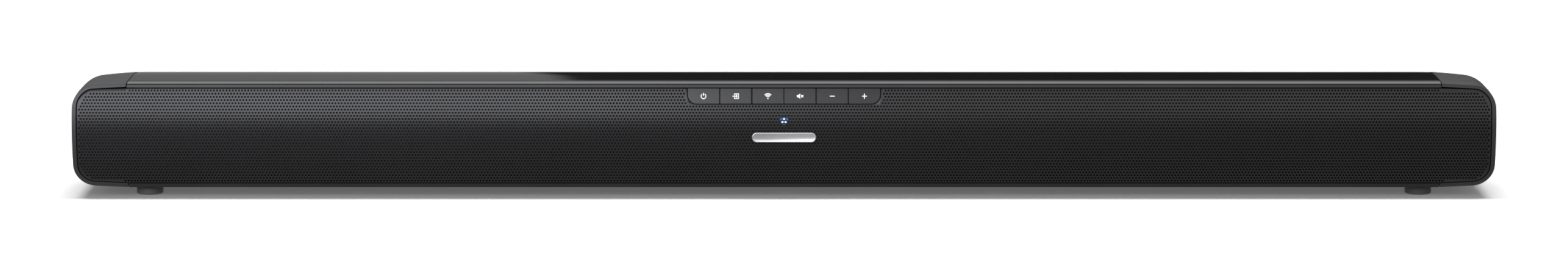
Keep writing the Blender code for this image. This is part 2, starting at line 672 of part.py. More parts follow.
def make_sockets():
    make_flat_socket("usb_socket", 0.5 * MM, 10 * MM, (11 * MM, 1.8 * MM), 1.2 * MM)
    make_flat_socket("hdmi_socket", 0.5 * MM, 9 * MM, (10 * MM, 0.9 * MM), 0.6 * MM)

    low, high = SOCKET_BOXES["optical_socket"]
    x, z = socket_centre("optical_socket")
    optical = box_part("optical_socket", low, high, "matte_black")
    shutter = add_box(bmesh.new(), (x - 3 * MM, SOCKET_REAR_Y - 1 * MM, z - 3 * MM),
                      (x + 3 * MM, SOCKET_REAR_Y + 1 * MM, z + 3 * MM))
    combine(optical, "DIFFERENCE", shutter)

    low, high = SOCKET_BOXES["aux_socket"]
    x, z = socket_centre("aux_socket")
    aux = box_part("aux_socket", low, high, "matte_black")
    jack = add_cylinder(bmesh.new(), (x, SOCKET_REAR_Y - 12 * MM, z), (x, SOCKET_REAR_Y + 1 * MM, z), 1.8 * MM, 16)
    combine(aux, "DIFFERENCE", jack)

    low, high = SOCKET_BOXES["power_inlet"]
    x, z = socket_centre("power_inlet")
    cavity_half, cavity_r = 8.3 * MM, 4.1 * MM
    depth, pin_x, pin_r = 10 * MM, 4.3 * MM, 1.2 * MM
    inlet = box_part("power_inlet", low, high, "matte_black")
    angles = (0, 25, 50, 72, 86)
    right = [cavity_half - cavity_r + cavity_r * math.sin(math.radians(a)) for a in angles]
    rings = []
    for across in [-value for value in reversed(right)] + right:
        half = math.sqrt(cavity_r ** 2 - max(0.0, abs(across) - (cavity_half - cavity_r)) ** 2)
        rings.append([(x + across, SOCKET_REAR_Y - depth, z - half), (x + across, SOCKET_REAR_Y - depth, z + half),
                      (x + across, SOCKET_REAR_Y + 1 * MM, z + half), (x + across, SOCKET_REAR_Y + 1 * MM, z - half)])
    combine(inlet, "DIFFERENCE", loft(bmesh.new(), rings))
    pins = bmesh.new()
    for side in (-1, 1):
        add_cylinder(pins, (x + side * pin_x, SOCKET_REAR_Y - depth - 1 * MM, z),
                     (x + side * pin_x, SOCKET_REAR_Y - 1.5 * MM, z), pin_r, 12)
    combine(inlet, "UNION", pins)


def make_ports():
    """Tubes that let the drivers' back pressure out, flared at the back wall."""
    inner_r, outer_r = PORT_R
    flare = 1.2 * MM
    outline = [(outer_r, 0), (outer_r, PORT_LENGTH), (inner_r + flare, PORT_LENGTH),
               (inner_r, PORT_LENGTH - 3 * MM), (inner_r, 3 * MM), (inner_r + flare, 0)]
    for side_name, side in (("left", -1), ("right", 1)):
        turned_part(f"{side_name}_port_tube", outline, "matte_black",
                    (side * PORT_X, BACK_Y - PORT_LENGTH, PORT_Z), ROUND, True, TURN_TO_BACK)


def make_hangers():
    """Steel keyhole plates behind windows in the back wall."""
    rear_y = BACK_Y - WALL - GAP
    front_y = rear_y - HANGER_THICKNESS
    for side_name, side in (("left", -1), ("right", 1)):
        x = side * HANGER_X
        plate = box_part(f"{side_name}_hanger_plate", (x - HANGER_HALF, front_y, HANGER_Z[0]),
                         (x + HANGER_HALF, rear_y, HANGER_Z[1]), "plated_steel")
        head = add_cylinder(bmesh.new(), (x, front_y - WALL, KEYHOLE_Z), (x, rear_y + WALL, KEYHOLE_Z),
                            KEYHOLE_HEAD_R, 16)
        combine(plate, "DIFFERENCE", head)
        half, reach = KEYHOLE_SLOT[0] / 2, KEYHOLE_SLOT[1]
        slot = add_box(bmesh.new(), (x - half, front_y - WALL, KEYHOLE_Z), (x + half, rear_y + WALL, reach))
        combine(plate, "DIFFERENCE", slot)


# ---- electronics -----------------------------------------------------------------------------------
def make_electronics():
    for name, (low_x, high_x) in (("main_board", MAIN_BOARD_X), ("power_board", POWER_BOARD_X)):
        box_part(name, (low_x, BOARD_Y[0], BOARD_Z), (high_x, BOARD_Y[1], BOARD_Z + BOARD_THICKNESS),
                 "board_green")
    box_part("transformer", (-84 * MM, -14 * MM, PARTS_Z), (-56 * MM, 8 * MM, 38 * MM), "copper_tape", 1 * MM)
    box_part("wireless_module", (60 * MM, -16 * MM, PARTS_Z), (78 * MM, -2 * MM, PARTS_Z + 2.4 * MM),
             "plated_steel", 0.4 * MM)

    sink = box_part("heat_sink", (108 * MM, -16 * MM, PARTS_Z), (142 * MM, 10 * MM, 38 * MM), "aluminium")
    grooves = bmesh.new()
    fin_pitch, groove = 5.6 * MM, 3.6 * MM
    for i in range(5):
        x = 110.8 * MM + i * fin_pitch
        add_box(grooves, (x, -20 * MM, PARTS_Z + 3 * MM), (x + groove, 14 * MM, 42 * MM))
    combine(sink, "DIFFERENCE", grooves)


def make_lead(name, points, radius):
    """A round insulated lead through hand-laid points."""
    curve = bpy.data.curves.new(name, "CURVE")
    curve.dimensions = "3D"
    curve.bevel_depth = radius
    curve.bevel_resolution = 1
    curve.use_fill_caps = True
    spline = curve.splines.new("POLY")
    spline.points.add(len(points) - 1)
    for spot, point in zip(spline.points, points):
        spot.co = (*point, 1)
    lead = bpy.data.objects.new(name, curve)
    curve.materials.append(material(name, "rubber"))
    PARTS.objects.link(lead)


def make_wiring():
    run_y, floor_z, lead_r = -25.5 * MM, 11 * MM, 0.9 * MM
    board_x = {"left": MAIN_BOARD_X[0] + 5 * MM, "right": MAIN_BOARD_X[1] - 5 * MM}
    for side_name, side in (("left", -1), ("right", 1)):
        start_x, end_x = side * DRIVER_X, board_x[side_name]
        step = 4 * MM if start_x < end_x else -4 * MM
        make_lead(f"{side_name}_speaker_lead", [
            (start_x, run_y, 14.8 * MM), (start_x + step / 2, run_y, floor_z + 1 * MM),
            (start_x + step, run_y, floor_z), (end_x - step, run_y, floor_z),
            (end_x, run_y, floor_z + 2 * MM), (end_x, run_y + 1 * MM, 18 * MM),
            (end_x, run_y + 3.5 * MM, 20.4 * MM), (end_x, -15 * MM, 20.6 * MM)], lead_r)

    cable_half, cable_thickness = 6 * MM, 0.4 * MM
    cable_x = 40 * MM
    route = [(-29.1, 46), (-28.2, 40), (-26.8, 32), (-24.5, 24), (-22, 20.6), (-17, 19.4)]
    rings = []
    for y, z in route:
        y, z = y * MM, z * MM
        rings.append([(cable_x - cable_half, y, z), (cable_x + cable_half, y, z),
                      (cable_x + cable_half, y + cable_thickness, z + cable_thickness),
                      (cable_x - cable_half, y + cable_thickness, z + cable_thickness)])
    add_part("ribbon_cable", loft(bmesh.new(), rings), "matte_grey")


# ---- feet ----------------------------------------------------------------------------------------
def make_feet():
    top = FOOT_SPACE - GAP
    outline = [(0, top), (FOOT_R, top), (FOOT_R, FOOT_EDGE), (FOOT_R - FOOT_EDGE, 0), (0, 0)]
    for row, y in zip(("front", "rear"), FOOT_Y):
        for side_name, side in (("left", -1), ("right", 1)):
            turned_part(f"{row}_{side_name}_foot", outline, "rubber", (side * FOOT_X, y, 0), ROUND, False)


make_top_panel()
make_rear_cover()
make_rear_panel("connector_panel", *CONNECTOR_BAY_X)
make_rear_panel("power_panel", *POWER_BAY_X)
make_end_cap("left_end_cap", -1)
make_end_cap("right_end_cap", 1)
make_front()
make_controls()
make_driver("left", -DRIVER_X)
make_driver("right", DRIVER_X)
make_sockets()
make_ports()
make_hangers()
make_electronics()
make_wiring()
make_feet()
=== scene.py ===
import json
import math

import bmesh
import bpy
import numpy as np
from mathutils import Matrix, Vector
from mathutils.geometry import delaunay_2d_cdt


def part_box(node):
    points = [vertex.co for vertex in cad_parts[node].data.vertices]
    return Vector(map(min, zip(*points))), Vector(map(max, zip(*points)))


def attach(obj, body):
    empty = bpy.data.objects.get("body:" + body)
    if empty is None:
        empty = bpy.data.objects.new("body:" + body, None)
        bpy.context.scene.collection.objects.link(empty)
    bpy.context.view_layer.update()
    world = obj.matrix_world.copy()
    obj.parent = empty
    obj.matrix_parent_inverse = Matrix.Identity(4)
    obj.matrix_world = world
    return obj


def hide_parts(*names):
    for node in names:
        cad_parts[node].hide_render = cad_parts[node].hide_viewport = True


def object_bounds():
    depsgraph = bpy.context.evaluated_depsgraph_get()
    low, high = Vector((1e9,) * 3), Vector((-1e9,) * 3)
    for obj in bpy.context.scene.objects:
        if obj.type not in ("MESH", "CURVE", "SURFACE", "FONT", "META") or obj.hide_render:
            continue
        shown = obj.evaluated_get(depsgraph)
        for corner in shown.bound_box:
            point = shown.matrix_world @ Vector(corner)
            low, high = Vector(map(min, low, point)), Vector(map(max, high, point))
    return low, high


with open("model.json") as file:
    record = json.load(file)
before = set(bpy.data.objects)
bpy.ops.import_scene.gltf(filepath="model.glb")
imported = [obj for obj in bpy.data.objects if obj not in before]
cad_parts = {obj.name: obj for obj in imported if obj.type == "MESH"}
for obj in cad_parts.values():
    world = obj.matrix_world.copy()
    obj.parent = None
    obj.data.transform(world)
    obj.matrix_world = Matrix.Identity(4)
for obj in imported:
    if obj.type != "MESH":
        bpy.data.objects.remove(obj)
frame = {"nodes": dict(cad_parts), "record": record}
cad_low, cad_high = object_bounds()

# A soundbar, in metres: X runs along it, to the right seen from the front, Y to the back and Z up.
MM = 0.001
HOUSING = "housing"
KEY_NAMES = ("power", "source", "wireless", "mute", "volume_down", "volume_up")

# ---- the housing's section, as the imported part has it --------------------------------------
HALF_LENGTH = cad_high.x
BACK_Y = cad_high.y
TOP_Z = cad_high.z
BADGE_FRONT_Y = cad_low.y
BADGE_PROUD = 0.6 * MM
ARC_FRONT_Y = BADGE_FRONT_Y + BADGE_PROUD
FOOT_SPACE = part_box("rear_cover")[0].z
SPLIT_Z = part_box("top_panel")[0].z
MIDDLE_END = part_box("top_panel")[1].x
CAP_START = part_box("right_end_cap")[0].x
SEAM_X = (MIDDLE_END + CAP_START) / 2
WALL = 2.4 * MM
FRONT_ARC_R = 55 * MM
FRONT_ARC_Z = 37 * MM
CAP_CORNER_R = 12.5 * MM
CAP_TAPER = 0.05
PLAN_CORNER = 39 * MM
FRONT_FALL = 0.6 * MM
FRONT_ROLL = 12 * MM
CROWN_Y = -12 * MM
REAR_FALL = 11 * MM
REAR_FALL_POWER = 2.2
REAR_BOTTOM_R = 4 * MM
GRILLE_INSET = WALL + 0.45 * MM
GRILLE_TOP_DROP = 0.35 * MM
GRILLE_SETBACK = 0.2 * MM
GRILLE_THICKNESS = 1.0 * MM


def arc_y(z, depth=0.0):
    """Front surface at height z, this deep inside it. Takes numbers or arrays."""
    radius = FRONT_ARC_R - depth
    return ARC_FRONT_Y + FRONT_ARC_R - np.sqrt(radius ** 2 - (z - FRONT_ARC_Z) ** 2)


def height_limits(x, inset=0.0):
    """The bar's bottom and top at x, drawn in by inset all round."""
    corner_x = HALF_LENGTH - CAP_CORNER_R
    taper = CAP_TAPER * max(0.0, min(abs(x), corner_x) - SEAM_X)
    radius = CAP_CORNER_R - inset
    across = min(max(0.0, abs(x) - corner_x), radius)
    fall = radius - math.sqrt(radius ** 2 - across ** 2)
    return FOOT_SPACE + inset + taper + fall, TOP_Z - inset - taper - fall


def rear_limit(x, inset=0.0):
    """The back of the bar at x, seen from above."""
    radius = PLAN_CORNER - inset
    across = min(max(0.0, abs(x) - (HALF_LENGTH - PLAN_CORNER)), radius)
    return BACK_Y - PLAN_CORNER + math.sqrt(radius ** 2 - across ** 2)


def spaced(start, end, steps):
    """Evenly spaced numbers from start to end, both included."""
    return [start + (end - start) * i / steps for i in range(steps + 1)]


def over_the_top(x, inset, front_steps=10, rear_steps=24):
    """Points from the front edge over the top to where the back wall is upright."""
    _, top = height_limits(x, inset)
    back = rear_limit(x, inset)
    fall = FRONT_FALL if inset == 0 else 0.0
    front_y = float(arc_y(top - fall))
    points = [(front_y + FRONT_ROLL * part, top - fall * (1 - part) ** 2)
              for part in spaced(0, 1, front_steps)]
    for angle in spaced(0, math.pi / 2, rear_steps):
        y = CROWN_Y + (back - CROWN_Y) * math.sin(angle) ** (2 / REAR_FALL_POWER)
        points.append((y, top - REAR_FALL * (1 - math.cos(angle))))
    return points


def under_the_bottom(x, inset, steps=8):
    """Points down round the lower rear edge and forward to the front edge."""
    bottom, _ = height_limits(x, inset)
    back = rear_limit(x, inset)
    radius = REAR_BOTTOM_R - inset
    points = []
    for angle in spaced(0, math.pi / 2, steps):
        points.append((back - radius * (1 - math.cos(angle)), bottom + radius * (1 - math.sin(angle))))
    points.append((float(arc_y(bottom)), bottom))
    return points


# ---- materials -----------------------------------------------------------------------------
def ramp_between(tree, factor, low, high):
    """A colour that runs from low to high with the factor."""
    ramp = tree.nodes.new("ShaderNodeValToRGB")
    ramp.color_ramp.elements[0].position = 0.3
    ramp.color_ramp.elements[1].position = 0.7
    ramp.color_ramp.elements[0].color = (*low, 1)
    ramp.color_ramp.elements[1].color = (*high, 1)
    tree.links.new(factor, ramp.inputs["Fac"])
    return ramp.outputs["Color"]


def map_range(tree, value, low, high, from_low=0.0, from_high=1.0):
    node = tree.nodes.new("ShaderNodeMapRange")
    node.inputs["From Min"].default_value = from_low
    node.inputs["From Max"].default_value = from_high
    node.inputs["To Min"].default_value = low
    node.inputs["To Max"].default_value = high
    tree.links.new(value, node.inputs["Value"])
    return node.outputs["Result"]


def place_coordinates(tree, scale):
    """Object coordinates in metres, times a scale for each axis."""
    place = tree.nodes.new("ShaderNodeTexCoord")
    mapping = tree.nodes.new("ShaderNodeMapping")
    mapping.inputs["Scale"].default_value = scale
    tree.links.new(place.outputs["Object"], mapping.inputs["Vector"])
    return mapping.outputs["Vector"]


def noise(tree, scale, detail=3.0):
    node = tree.nodes.new("ShaderNodeTexNoise")
    node.inputs["Scale"].default_value = 1.0
    node.inputs["Detail"].default_value = detail
    tree.links.new(place_coordinates(tree, scale), node.inputs["Vector"])
    return node.outputs["Fac"]


def wave(tree, axis, scale):
    node = tree.nodes.new("ShaderNodeTexWave")
    node.bands_direction = axis
    node.inputs["Scale"].default_value = scale
    node.inputs["Distortion"].default_value = 0.4
    tree.links.new(place_coordinates(tree, (1, 1, 1)), node.inputs["Vector"])
    return node.outputs["Fac"]


def combine(tree, operation, first, second):
    node = tree.nodes.new("ShaderNodeMath")
    node.operation = operation
    tree.links.new(first, node.inputs[0])
    tree.links.new(second, node.inputs[1])
    return node.outputs["Value"]


def add_bump(tree, shader, height, depth):
    bump = tree.nodes.new("ShaderNodeBump")
    bump.inputs["Distance"].default_value = depth
    tree.links.new(height, bump.inputs["Height"])
    tree.links.new(bump.outputs["Normal"], shader.inputs["Normal"])


def new_material(name, roughness, metallic=0.0, specular=0.5):
    made = bpy.data.materials.new(name)
    made.use_nodes = True
    shader = made.node_tree.nodes["Principled BSDF"]
    shader.inputs["Roughness"].default_value = roughness
    shader.inputs["Metallic"].default_value = metallic
    shader.inputs["Specular IOR Level"].default_value = specular
    return made, made.node_tree, shader


def grained(name, colour, roughness, metallic=0.0, specular=0.5, grain=0.5 * MM,
            stretch=(1, 1, 1), depth=0.01 * MM, spread=0.12):
    """A surface with a fine grain in its colour, roughness and relief."""
    made, tree, shader = new_material(name, roughness, metallic, specular)
    fine = noise(tree, tuple(part / grain for part in stretch), 4.0)
    broad = noise(tree, (22, 22, 22), 2.0)
    mixed = combine(tree, "MULTIPLY", fine, broad)
    low = tuple(part * (1 - spread) for part in colour)
    high = tuple(min(1.0, part * (1 + spread)) for part in colour)
    tone = map_range(tree, mixed, 0.0, 1.0, 0.1, 0.4)
    tree.links.new(ramp_between(tree, tone, low, high), shader.inputs["Base Color"])
    shine = map_range(tree, fine, roughness * 0.9, roughness * 1.1)
    tree.links.new(shine, shader.inputs["Roughness"])
    add_bump(tree, shader, fine, depth)
    return made


def bands_for(width):
    """The scale at which one wave of Blender's wave texture is this wide."""
    return math.pi / 10 / width


def woven(name, colour, thread):
    """Plain weave: threads along X cross threads along Z."""
    made, tree, shader = new_material(name, 0.95, specular=0.2)
    bands = bands_for(thread)
    relief = combine(tree, "MAXIMUM", wave(tree, "X", bands), wave(tree, "Z", bands))
    low = tuple(part * 0.4 for part in colour)
    tree.links.new(ramp_between(tree, relief, low, colour), shader.inputs["Base Color"])
    add_bump(tree, shader, relief, 0.05 * MM)
    return made


def banded(name, colour, width, roughness):
    """Turns of tape or wire lying side by side."""
    made, tree, shader = new_material(name, roughness, 0.2)
    bands = wave(tree, "X", bands_for(width))
    low = tuple(part * 0.55 for part in colour)
    tree.links.new(ramp_between(tree, bands, low, colour), shader.inputs["Base Color"])
    add_bump(tree, shader, bands, 0.1 * MM)
    return made


def circuit_board(name):
    """Green solder mask, a little darker over the copper runs."""
    made, tree, shader = new_material(name, 0.4)
    cells = tree.nodes.new("ShaderNodeTexVoronoi")
    cells.distance = "CHEBYCHEV"
    cells.inputs["Scale"].default_value = 1.0
    tree.links.new(place_coordinates(tree, (180, 180, 180)), cells.inputs["Vector"])
    runs = map_range(tree, cells.outputs["Distance"], 0.0, 1.0, 0.30, 0.36)
    mask = ramp_between(tree, runs, (0.03, 0.16, 0.07), (0.012, 0.08, 0.035))
    tree.links.new(mask, shader.inputs["Base Color"])
    add_bump(tree, shader, runs, 0.03 * MM)
    return made


def glowing(name, colour, strength):
    """A lit lens, with a faint grain in its light."""
    made, tree, shader = new_material(name, 0.15)
    fine = noise(tree, (900, 900, 900), 2.0)
    deep = tuple(part * 0.85 for part in colour)
    tree.links.new(ramp_between(tree, fine, deep, colour), shader.inputs["Emission Color"])
    shader.inputs["Base Color"].default_value = (*colour, 1)
    shader.inputs["Emission Strength"].default_value = strength
    return made


MATERIALS = {
    "top_panel_gloss": grained("top_panel_gloss", (0.006, 0.006, 0.0065), 0.06,
                               grain=60 * MM, depth=0.0),
    "key_gloss": grained("key_gloss", (0.008, 0.008, 0.0085), 0.26, specular=0.24,
                         grain=0.6 * MM, depth=0.002 * MM),
    "cap_plastic": grained("cap_plastic", (0.016, 0.016, 0.0172), 0.42, specular=0.22,
                           grain=0.35 * MM, depth=0.012 * MM),
    "black_plastic": grained("black_plastic", (0.012, 0.012, 0.0128), 0.50, specular=0.15,
                             grain=0.5 * MM, depth=0.02 * MM),
    "grille_steel": grained("grille_steel", (0.0058, 0.0058, 0.0062), 0.32, specular=0.26,
                            grain=0.8 * MM, depth=0.004 * MM),
    "acoustic_cloth": woven("acoustic_cloth", (0.034, 0.034, 0.036), 0.35 * MM),
    "badge_metal": grained("badge_metal", (0.42, 0.42, 0.43), 0.34, 1.0,
                           grain=0.12 * MM, stretch=(0.05, 1, 1), depth=0.004 * MM),
    "circuit_board": circuit_board("circuit_board"),
    "led_lens": glowing("led_lens", (0.12, 0.30, 1.0), 12.0),
    "clear_plastic": glowing("clear_plastic", (0.30, 0.52, 1.0), 2.4),
    "dark_lens": grained("dark_lens", (0.020, 0.008, 0.012), 0.10, grain=3 * MM, depth=0.0),
    "winding_tape": banded("winding_tape", (0.55, 0.38, 0.12), 1.2 * MM, 0.45),
    "aluminium": grained("aluminium", (0.70, 0.71, 0.72), 0.35, 1.0,
                         grain=0.3 * MM, stretch=(1, 0.05, 1)),
    "plated_steel": grained("plated_steel", (0.55, 0.55, 0.53), 0.32, 1.0),
    "socket_plastic": grained("socket_plastic", (0.018, 0.018, 0.019), 0.40, grain=0.4 * MM),
    "lead_sleeve": grained("lead_sleeve", (0.020, 0.020, 0.020), 0.60, grain=0.6 * MM),
    "ribbon_sleeve": banded("ribbon_sleeve", (0.60, 0.60, 0.58), 1.0 * MM, 0.5),
    "ferrite": grained("ferrite", (0.050, 0.048, 0.047), 0.60, 0.2,
                       grain=0.3 * MM, depth=0.03 * MM),
    "cone_paper": grained("cone_paper", (0.028, 0.028, 0.030), 0.85,
                          grain=0.7 * MM, depth=0.08 * MM),
    "soft_rubber": grained("soft_rubber", (0.018, 0.018, 0.019), 0.60),
    "spider_cloth": woven("spider_cloth", (0.50, 0.34, 0.11), 0.5 * MM),
    "foot_rubber": grained("foot_rubber", (0.018, 0.018, 0.018), 0.75,
                           grain=0.4 * MM, depth=0.03 * MM),
}
for entry in frame["record"]["subparts"]:
    node = frame["nodes"][entry["node"]]
    for holder in node.material_slots:
        holder.material = MATERIALS[entry["material_slot"]]

SYMBOL_WHITE = grained("symbol_white", (0.80, 0.80, 0.80), 0.5, grain=0.3 * MM, spread=0.04)
HALO_BLUE = glowing("halo_blue", (0.02, 0.07, 0.42), 1.5)
STRIP_GREY = grained("strip_grey", (0.009, 0.009, 0.0097), 0.45, specular=0.26,
                     grain=0.35 * MM, depth=0.008 * MM)


# ---- mesh helpers --------------------------------------------------------------------------
def finish_piece(name, mesh, slot, body=HOUSING, replaces=(), sharp=40, material=None):
    """Shade a mesh, give it its material, and tie it to the part."""
    mesh.shade_smooth()
    mesh.set_sharp_from_angle(angle=math.radians(sharp))
    mesh.materials.append(material or MATERIALS[slot])
    piece = bpy.data.objects.new(name, mesh)
    bpy.context.scene.collection.objects.link(piece)
    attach(piece, body)
    if replaces:
        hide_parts(*replaces)
    return piece


def mesh_from(name, points, faces):
    """A mesh from points and faces, with anything broken taken out."""
    mesh = bpy.data.meshes.new(name)
    mesh.from_pydata([tuple(map(float, point)) for point in points], [], faces)
    mesh.validate()
    return mesh


def face_outward(mesh):
    """Turn every face of a closed mesh outward."""
    bm = bmesh.new()
    bm.from_mesh(mesh)
    bmesh.ops.remove_doubles(bm, verts=bm.verts, dist=1e-6)
    bmesh.ops.recalc_face_normals(bm, faces=bm.faces)
    bm.to_mesh(mesh)
    bm.free()
    return mesh


def bevel(piece, width, segments=2, angle=35):
    """Round the edges that are sharper than angle."""
    rounded = piece.modifiers.new("edges", "BEVEL")
    rounded.width = width
    rounded.segments = segments
    rounded.limit_method = "ANGLE"
    rounded.angle_limit = math.radians(angle)
    rounded.harden_normals = True


def ring_faces(first, second, count, closed=True):
    """Quads between two rings of points that start at these indices."""
    last = count if closed else count - 1
    return [(first + i, first + (i + 1) % count, second + (i + 1) % count, second + i)
            for i in range(last)]


def lofted(name, rings):
    """A closed mesh through rings of equally many points."""
    count = len(rings[0])
    points = [point for ring in rings for point in ring]
    faces = []
    for i in range(len(rings) - 1):
        faces += ring_faces(i * count, (i + 1) * count, count)
    faces.append(tuple(range(count)))
    faces.append(tuple(range((len(rings) - 1) * count, len(rings) * count)))
    return face_outward(mesh_from(name, points, faces))


def turned(name, outline, place, steps=64, axis="Z"):
    """A mesh turned about Z or Y through place, from (radius, height along the axis) points."""
    rings = []
    for k in range(steps):
        angle = 2 * math.pi * k / steps
        across, up = math.cos(angle), math.sin(angle)
        ring = []
        for radius, height in outline:
            along_y, along_z = (radius * up, height) if axis == "Z" else (height, radius * up)
            ring.append((place[0] + radius * across, place[1] + along_y, place[2] + along_z))
        rings.append(ring)
    count = len(outline)
    points = [point for ring in rings for point in ring]
    faces = []
    for k in range(steps):
        faces += ring_faces(k * count, ((k + 1) % steps) * count, count)
    return face_outward(mesh_from(name, points, faces))


def arc(centre, radius, start, end, steps=24):
    """Points on a circle's arc, from start to end degrees."""
    return [(centre[0] + radius * math.cos(math.radians(angle)),
             centre[1] + radius * math.sin(math.radians(angle))) for angle in spaced(start, end, steps)]


# ---- top panel, strip, end caps ------------------------------------------------------------
def middle_stations():
    """Places along the middle part, closer together where its back begins to turn."""
    corner = HALF_LENGTH - PLAN_CORNER
    right = spaced(corner, MIDDLE_END, 5)
    return [-x for x in reversed(right)] + right


STRIP_DEPTH = 4 * MM
STRIP_GAP = 0.05 * MM
LIP_HEIGHT = 0.5 * MM
STRIP_TOP = TOP_Z - FRONT_FALL - LIP_HEIGHT
TOP_EDGE_R = 0.18 * MM
STRIP_EDGE_R = 0.15 * MM
CAP_EDGE_R = 0.25 * MM


def make_top():
    """The gloss panel, and the matt strip under its front edge."""
    rings = []
    for x in middle_stations():
        outside = over_the_top(x, 0) + [(rear_limit(x), SPLIT_Z)]
        front_y = outside[0][0]
        step_y = front_y + STRIP_DEPTH
        inside = [point for point in over_the_top(x, WALL)[:-1] if point[0] > step_y]
        inside = [(front_y, STRIP_TOP + STRIP_GAP), (step_y, STRIP_TOP + STRIP_GAP),
                  (step_y, inside[0][1])] + inside
        inside.append((rear_limit(x, WALL), SPLIT_Z))
        rings.append([(x, y, z) for y, z in outside + inside[::-1]])
    bevel(finish_piece("top_panel_gloss", lofted("top_panel_gloss", rings), "top_panel_gloss",
                       replaces=["top_panel"]), TOP_EDGE_R, 3)

    rings = []
    for x in (-MIDDLE_END, MIDDLE_END):
        low = height_limits(0, WALL)[1] - GRILLE_TOP_DROP
        heights = spaced(low, STRIP_TOP, 4)
        front = [(float(arc_y(z)), z) for z in heights]
        rear_y = float(arc_y(STRIP_TOP)) + STRIP_DEPTH - STRIP_GAP
        rings.append([(x, y, z) for y, z in front + [(rear_y, STRIP_TOP), (rear_y, low)]])
    bevel(finish_piece("top_front_strip", lofted("top_front_strip", rings), "cap_plastic",
                       replaces=["top_panel"], material=STRIP_GREY), STRIP_EDGE_R)


def cap_rings(side, inset, start, front_steps=14):
    """Closed outlines of the cap from its seam to its end, and how many points lie off its front."""
    corner_x = HALF_LENGTH - CAP_CORNER_R
    radius = CAP_CORNER_R - inset
    turns = [corner_x + radius * math.sin(math.radians(angle)) for angle in spaced(0, 90, 14)]
    rings = []
    for x in spaced(start, corner_x, 6)[:-1] + turns:
        skin = over_the_top(x, inset) + under_the_bottom(x, inset)
        low, high = skin[-1][1], skin[0][1]
        front = [(float(arc_y(z)), z) for z in spaced(low, high, front_steps)[1:-1]]
        rings.append([(side * x, y, z) for y, z in skin + front])
    return rings, len(skin)


def make_cap(name, node, side):
    """A shell that is open to the front and to the middle of the bar."""
    outer, skin = cap_rings(side, 0.0, CAP_START)
    inner, _ = cap_rings(side, WALL, CAP_START)
    count, rows = len(outer[0]), len(outer)
    points = [point for ring in outer + inner for point in ring]
    base = rows * count
    faces = []
    for i in range(rows - 1):
        for start in (0, base):
            first, second = start + i * count, start + (i + 1) * count
            faces += ring_faces(first, second, skin, closed=False)
    for i in range(skin - 1):
        faces.append((i, i + 1, base + i + 1, base + i))
    for i in range(rows - 1):
        for k in (0, skin - 1):
            here, there = i * count + k, (i + 1) * count + k
            faces.append((here, there, base + there, base + here))
    end = (rows - 1) * count
    faces += [(end + i, end + (i + 1) % count, base + end + (i + 1) % count, base + end + i)
              for i in range(skin - 1, count)]
    faces.append(tuple(range(end, end + count)))
    faces.append(tuple(range(base + end, base + end + count)))
    mesh = face_outward(mesh_from(name, points, faces))
    bevel(finish_piece(name, mesh, "cap_plastic", replaces=[node]), CAP_EDGE_R, 2, 40)


# ---- grille --------------------------------------------------------------------------------
HOLE_PITCH_X = 1.755 * MM
HOLE_PITCH_Z = 1.72 * MM
HOLE_ROWS = 31
TOP_ROW_Z = TOP_Z - 4.28 * MM
HOLE_R = 0.62 * MM
HOLE_SIDES = 8
RIM = 0.16 * MM             # the sheet's edge is softened over this width
ROW_MARGIN = 1.3 * RIM      # and the holes' cells keep this far from it
GRILLE_PIECES = 4

KEY_GAP = 0.4 * MM
key_low, key_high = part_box("power_button")
KEY_BOTTOM_Z = key_low.z
KEY_TOP_Z = key_high.z
KEY_ROW_HALF = -key_low.x
KEY_CORNER_R = 4.9 * MM


def key_bottom(x, grow=0.0):
    """Lower edge of the row of keys at x: its two outer corners are round."""
    half = KEY_ROW_HALF + grow
    radius = KEY_CORNER_R + grow
    across = min(max(0.0, abs(x) - (half - radius)), radius)
    return KEY_BOTTOM_Z - grow + radius - math.sqrt(radius ** 2 - across ** 2)


def sheet_limits(x, inset):
    """The sheet's bottom and top at x. Its drop under the strip fades out along the end caps."""
    low, high = height_limits(x, inset)
    along_cap = (abs(x) - SEAM_X) / (HALF_LENGTH - CAP_CORNER_R - SEAM_X)
    return low, high - GRILLE_TOP_DROP * (1 - min(1.0, max(0.0, along_cap)))


def inside_grille(x, z, margin):
    """Whether a point is on the sheet, at least this far from its edge."""
    if abs(x) > HALF_LENGTH - GRILLE_INSET - margin:
        return False
    low, high = sheet_limits(x, GRILLE_INSET + margin)
    if not low <= z <= high:
        return False
    grow = KEY_GAP + margin
    return abs(x) >= KEY_ROW_HALF + grow or z <= key_bottom(x, grow)


def grille_outline(margin):
    """The sheet's edge as one loop of (x, z) points, counter-clockwise from the lower left."""
    inset = GRILLE_INSET + margin
    corner_x = HALF_LENGTH - CAP_CORNER_R
    radius = CAP_CORNER_R - inset
    turns = [corner_x + radius * math.sin(math.radians(angle)) for angle in spaced(0, 90, 12)]
    step = HOLE_PITCH_X
    right = [i * step for i in range(int(corner_x / step))] + turns
    across = [-x for x in reversed(right[1:])] + right
    bottom = [(x, sheet_limits(x, inset)[0]) for x in across]
    end_low, end_high = sheet_limits(right[-1], inset)
    side = [(right[-1], z) for z in spaced(end_low, end_high, 16)[1:-1]]
    grow = KEY_GAP + margin
    half = KEY_ROW_HALF + grow
    notch_r = KEY_CORNER_R + grow
    notch_x = [i * step for i in range(int((half - notch_r) / step) + 1)]
    notch_x += [half - notch_r + notch_r * math.sin(math.radians(a)) for a in spaced(0, 90, 8)]
    top = [(x, sheet_limits(x, inset)[1]) for x in reversed(right) if x > half + 0.3 * step]
    top.append((half, sheet_limits(half, inset)[1]))
    notch = [(x, key_bottom(x, grow)) for x in reversed(notch_x)]
    upper = top + notch
    upper += [(-x, z) for x, z in reversed(upper) if x > 0]
    left = [(-x, z) for x, z in reversed(side)]
    return bottom + side + upper + left


